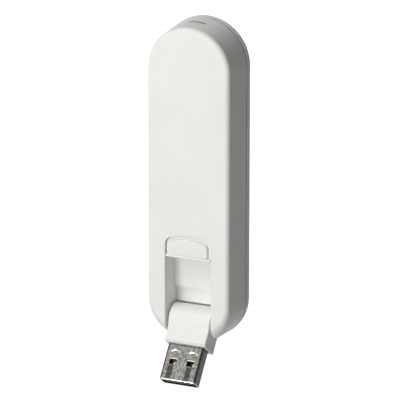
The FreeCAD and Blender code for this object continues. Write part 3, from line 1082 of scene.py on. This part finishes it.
class REPEATER_OT_electronics(bpy.types.Operator):
    """Finish the circuit board and everything soldered to it"""

    bl_idname = "repeater.electronics"
    bl_label = "Electronics"

    def execute(self, context):
        dress(["main_board", "radio_module"], solder_mask())
        # tinned steel can: bright with a soft satin drift
        tin = mottled("tinned_steel", "#B4B5B4", "#D2D3D2", 2.5, 0.32, 0.01, {"Metallic": 1.0})
        dress(["radio_shield", "crystal"], tin)
        # etched copper under a thin flux film: warm, with darker stains
        copper = mottled("etched_copper", "#A5673F", "#C98A5E", 0.6, 0.35, 0.004, {"Metallic": 1.0})
        dress(["antenna_trace"], copper)
        # moulded epoxy packages: matt black with a fine tooth
        epoxy = mottled("moulded_epoxy", "#171717", "#262626", 0.4, 0.6, 0.01, {"IOR": 1.55})
        dress(["radio_chip", "voltage_regulator", "switch_body"], epoxy)
        # sintered ferrite: dark grey and grainy
        ferrite = mottled("sintered_ferrite", "#3B3B3D", "#54545A", 0.3, 0.7, 0.02, {"IOR": 1.6})
        dress(["choke"], ferrite)
        # fired ceramic blocks: pale tan with a chalky grain
        ceramic = mottled("fired_ceramic", "#A9885E", "#C7A67B", 0.5, 0.5, 0.01, {"IOR": 1.6})
        dress(["capacitors"], ceramic)
        # moulded nylon of the header and plunger: pale, waxy, with faint flow marks
        nylon = mottled("moulded_nylon", "#DEDACF", "#EDEAE2", 1.2, 0.45, 0.006, {"IOR": 1.53})
        dress(["lead_header", "switch_plunger"], nylon)
        # phosphor in a cast epoxy lens: pale yellow, glossy
        lens = mottled("phosphor_lens", "#E6D79A", "#F2E8BE", 0.3, 0.25, 0.004, {"IOR": 1.5})
        dress(["status_led"], lens)
        return {"FINISHED"}


class REPEATER_OT_leads(bpy.types.Operator):
    """Finish the two leads between the plug and the board"""

    bl_idname = "repeater.leads"
    bl_label = "Leads"

    def execute(self, context):
        # extruded PVC jackets: satin with a faint wander in tone
        red = mottled("pvc_red", "#A3211C", "#BE3029", 1.0, 0.4, 0.006, {"IOR": 1.54})
        dress(["lead_positive"], red)
        black = mottled("pvc_black", "#191919", "#2A2A2A", 1.0, 0.4, 0.006, {"IOR": 1.54})
        dress(["lead_negative"], black)
        return {"FINISHED"}


class REPEATER_OT_stage(bpy.types.Operator):
    """Set up the floor, the lamps, the background and the camera"""

    bl_idname = "repeater.stage"
    bl_label = "Stage"

    def execute(self, context):
        studio = context.scene.repeater_studio
        self.floor(HINGE.z - studio.floor_drop)
        self.lamp("key_lamp", (-0.21, -0.97, 0.11), (0.3, 0.18), studio.key_power)
        self.lamp("fill_lamp", (0.37, -0.92, 0.11), (0.24, 0.18), studio.fill_power)
        self.lamp("top_lamp", (-0.33, -0.6, 0.73), (0.55, 0.55), studio.top_power)
        self.lamp("back_lamp", (-0.05, 0.7, 0.71), (0.5, 0.4), studio.back_power)
        self.lamp("rear_lamp", (-0.25, 0.97, 0.04), (0.3, 0.1), studio.rear_power)
        self.background(context, studio.ambient)
        self.camera(context, studio)
        context.scene.view_settings.view_transform = "Standard"
        return {"FINISHED"}

    def floor(self, height):
        """Plain pale floor that reads as paper white and keeps a soft shadow"""
        pick_none()
        bpy.ops.mesh.primitive_plane_add(size=6.0, location=(0.0, 0.0, height))
        floor = bpy.context.object
        floor.name = floor.data.name = "studio_floor"
        material = bpy.data.materials.new("matt_paper")
        material.use_nodes = True
        tree = material.node_tree
        tree.nodes.clear()
        paper = add_node(tree, "ShaderNodeBsdfDiffuse", {"Color": linear("#C2C2C2")})
        # less glow near the stick, where the lamps light the paper and its shadow falls
        place = add_node(tree, "ShaderNodeTexCoord").outputs["Object"]
        away = add_node(tree, "ShaderNodeVectorMath", {"operation": "LENGTH"}, {0: place})
        glow = add_node(
            tree,
            "ShaderNodeMapRange",
            {"From Min": 300.0 * MM, "From Max": 900.0 * MM, "To Min": 0.86, "To Max": 1.0},
            {"Value": away.outputs["Value"]},
        )
        glow = add_node(
            tree,
            "ShaderNodeMath",
            {"operation": "MULTIPLY"},
            {0: glow.outputs[0], 1: self.where_seen(tree, 0.0, 1.0)},
        )
        glow = add_node(tree, "ShaderNodeEmission", links={"Strength": glow.outputs[0]})
        both = add_node(
            tree, "ShaderNodeAddShader", links={0: paper.outputs[0], 1: glow.outputs[0]}
        )
        add_node(tree, "ShaderNodeOutputMaterial", links={"Surface": both.outputs[0]})
        floor.data.materials.append(material)

    def where_seen(self, tree, unseen, seen):
        """One value where the camera sees it, also in metal and through glass, one elsewhere"""
        rays = add_node(tree, "ShaderNodeLightPath").outputs
        shown = rays["Is Camera Ray"]
        for kind in ("Is Glossy Ray", "Is Transmission Ray"):
            shown = add_node(
                tree, "ShaderNodeMath", {"operation": "MAXIMUM"}, {0: shown, 1: rays[kind]}
            ).outputs[0]
        return add_node(
            tree, "ShaderNodeMapRange", {"To Min": unseen, "To Max": seen}, {"Value": shown}
        ).outputs[0]

    def lamp(self, name, direction, size, power):
        """Soft box of that width and height in metres that faces the stick from one direction"""
        pick_none()
        way = Vector(direction).normalized()
        bpy.ops.object.light_add(type="AREA", location=LAMP_AIM + way * LAMP_DISTANCE)
        lamp = bpy.context.object
        lamp.name = lamp.data.name = name
        lamp.rotation_euler = way.to_track_quat("Z", "Y").to_euler()
        lamp.data.shape = "RECTANGLE"
        lamp.data.size, lamp.data.size_y = size
        lamp.data.energy = power

    def background(self, context, ambient):
        """White where it is seen, and an even soft light where it is not"""
        world = bpy.data.worlds.new("studio")
        context.scene.world = world
        world.use_nodes = True
        tree = world.node_tree
        tree.nodes.clear()
        sky = add_node(
            tree,
            "ShaderNodeBackground",
            {"Color": (1.0, 1.0, 1.0, 1.0)},
            {"Strength": self.where_seen(tree, ambient, 1.0)},
        )
        add_node(tree, "ShaderNodeOutputWorld", links={"Surface": sky.outputs[0]})

    def camera(self, context, studio):
        """Camera at the photographed angle"""
        turn = (
            Matrix.Rotation(studio.azimuth, 3, "Z")
            @ Matrix.Rotation(math.radians(90.0) - studio.elevation, 3, "X")
            @ Matrix.Rotation(studio.roll, 3, "Z")
        )
        place = Vector(studio.target) + turn @ Vector((0.0, 0.0, studio.distance))
        pick_none()
        bpy.ops.object.camera_add(location=place, rotation=turn.to_euler())
        camera = bpy.context.object
        camera.name = camera.data.name = "studio_camera"
        camera.data.sensor_width = 36.0
        camera.data.lens = studio.lens
        camera.data.clip_end = 20.0
        context.scene.camera = camera


class REPEATER_PT_panel(bpy.types.Panel):
    """Sidebar panel with the pieces in order"""

    bl_idname = "REPEATER_PT_panel"
    bl_label = "Repeater stick"
    bl_space_type = "VIEW_3D"
    bl_region_type = "UI"
    bl_category = "Repeater"

    def draw(self, context):
        layout = self.layout
        scene = context.scene
        for settings in (scene.repeater_plastic, scene.repeater_plug, scene.repeater_studio):
            column = layout.column(align=True)
            for name in settings.__annotations__:
                column.prop(settings, name)
        for step in STEPS:
            layout.operator(step.bl_idname)


STEPS = (
    REPEATER_OT_housing,
    REPEATER_OT_press_pad,
    REPEATER_OT_plug_carrier,
    REPEATER_OT_plug_shell,
    REPEATER_OT_plug_core,
    REPEATER_OT_light_guide,
    REPEATER_OT_electronics,
    REPEATER_OT_leads,
    REPEATER_OT_stage,
)
SETTINGS = (RepeaterPlastic, RepeaterPlug, RepeaterStudio)


def register():
    for kind in SETTINGS + STEPS + (REPEATER_PT_panel,):
        bpy.utils.register_class(kind)
    bpy.types.Scene.repeater_plastic = PointerProperty(type=RepeaterPlastic)
    bpy.types.Scene.repeater_plug = PointerProperty(type=RepeaterPlug)
    bpy.types.Scene.repeater_studio = PointerProperty(type=RepeaterStudio)


def unregister():
    del bpy.types.Scene.repeater_studio
    del bpy.types.Scene.repeater_plug
    del bpy.types.Scene.repeater_plastic
    for kind in reversed(SETTINGS + STEPS + (REPEATER_PT_panel,)):
        bpy.utils.unregister_class(kind)


def main():
    register()
    bpy.ops.repeater.housing()
    bpy.ops.repeater.press_pad()
    bpy.ops.repeater.plug_carrier()
    bpy.ops.repeater.plug_shell()
    bpy.ops.repeater.plug_core()
    bpy.ops.repeater.light_guide()
    bpy.ops.repeater.electronics()
    bpy.ops.repeater.leads()
    bpy.ops.repeater.stage()


if __name__ == "__main__":
    main()
